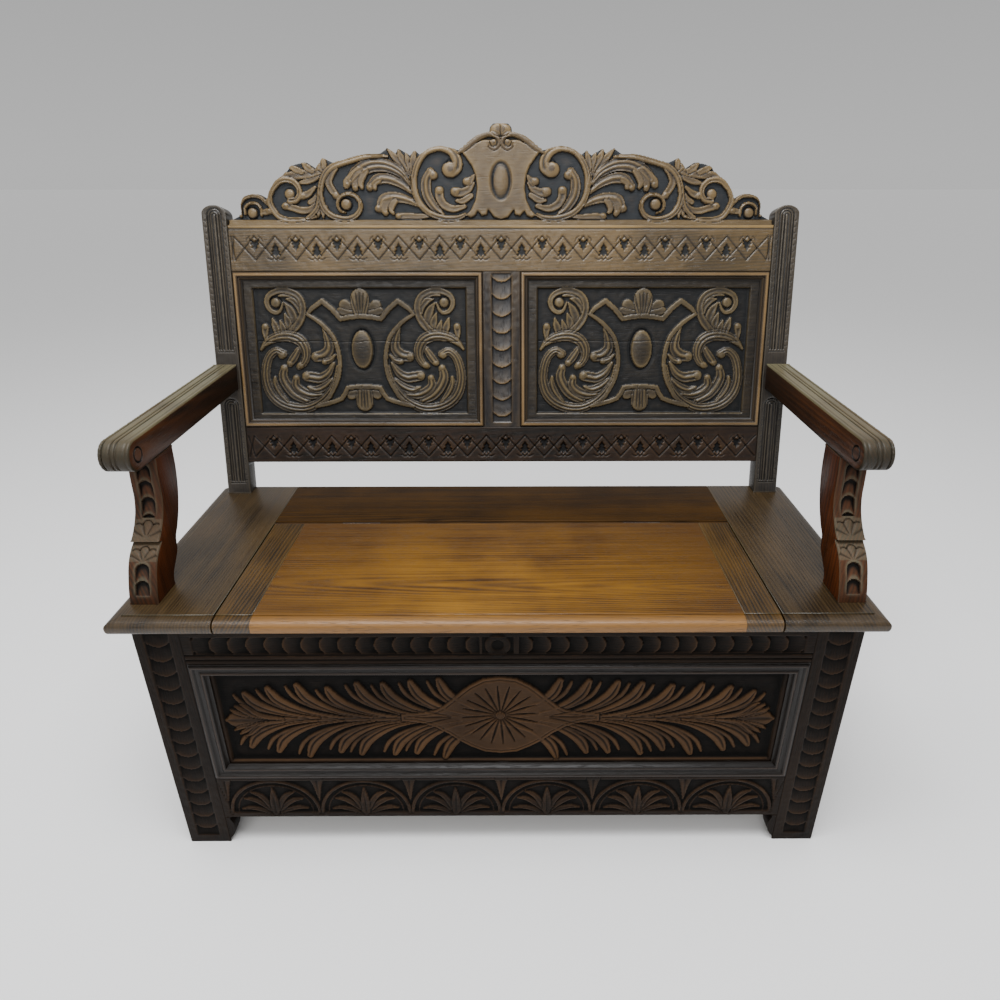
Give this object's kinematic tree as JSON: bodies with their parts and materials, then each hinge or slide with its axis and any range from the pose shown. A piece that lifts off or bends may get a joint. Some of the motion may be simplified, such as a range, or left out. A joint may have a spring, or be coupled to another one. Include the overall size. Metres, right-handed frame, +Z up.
{
  "type": "settle bench",
  "caption": "Carved oak settle with a panelled box seat, a lift-up lid, scrolled arms, and a raked back with carved panels under a scrolled crest.",
  "frame": {"origin": "on the floor, under the centre of the settle's overall box", "axes": "+Z up, the front faces -Y, and +X runs to the right of someone who looks at the front"},
  "size_m": [1.067, 0.5694, 1.0696],
  "materials": {
    "dark_oak": "old dark stain and wax, worn to a golden brown on raised edges",
    "worn_oak": "stain worn through to golden oak, waxed",
    "iron": "dark forged iron, dry"
  },
  "bodies": {
    "settle": {"front_stile_left": "dark_oak", "front_stile_right": "dark_oak", "rear_stile_left": "dark_oak", "rear_stile_right": "dark_oak", "front_top_rail": "dark_oak", "front_bottom_rail": "dark_oak", "rear_top_rail": "dark_oak", "rear_bottom_rail": "dark_oak", "side_top_rail_left": "dark_oak", "side_top_rail_right": "dark_oak", "side_bottom_rail_left": "dark_oak", "side_bottom_rail_right": "dark_oak", "front_panel": "dark_oak", "rear_panel": "dark_oak", "side_panel_left": "dark_oak", "side_panel_right": "dark_oak", "foot_bracket_left": "dark_oak", "foot_bracket_right": "dark_oak", "front_moulding_top": "dark_oak", "front_moulding_bottom": "dark_oak", "front_moulding_left": "dark_oak", "front_moulding_right": "dark_oak", "floor_cleat_front": "dark_oak", "floor_cleat_rear": "dark_oak", "floor_board_left": "dark_oak", "floor_board_middle": "dark_oak", "floor_board_right": "dark_oak", "seat_end_board_left": "dark_oak", "seat_end_board_right": "dark_oak", "hinge_rail": "dark_oak", "hinge_fixed_leaf_left": "iron", "hinge_fixed_leaf_right": "iron", "hinge_pin_left": "iron", "hinge_pin_right": "iron", "arm_left": "dark_oak", "arm_right": "dark_oak", "arm_support_left": "dark_oak", "arm_support_right": "dark_oak", "back_post_left": "dark_oak", "back_post_right": "dark_oak", "lower_back_rail": "dark_oak", "frieze_rail": "dark_oak", "back_muntin": "dark_oak", "back_panel_left": "dark_oak", "back_panel_right": "dark_oak", "back_moulding_left_top": "dark_oak", "back_moulding_left_bottom": "dark_oak", "back_moulding_left_left": "dark_oak", "back_moulding_left_right": "dark_oak", "back_moulding_right_top": "dark_oak", "back_moulding_right_bottom": "dark_oak", "back_moulding_right_left": "dark_oak", "back_moulding_right_right": "dark_oak", "crest": "dark_oak"},
    "lid": {"lid_board": "worn_oak", "lid_clamp_left": "dark_oak", "lid_clamp_right": "dark_oak", "hinge_lid_leaf_left": "iron", "hinge_lid_leaf_right": "iron"}
  },
  "joints": [
    {"name": "lid_hinge", "type": "hinge", "parent": "settle", "child": "lid", "pos_m": [0, 0.00426, 0.449], "axis": [-1, 0, 0], "range_deg": [0, 105]}
  ]
}
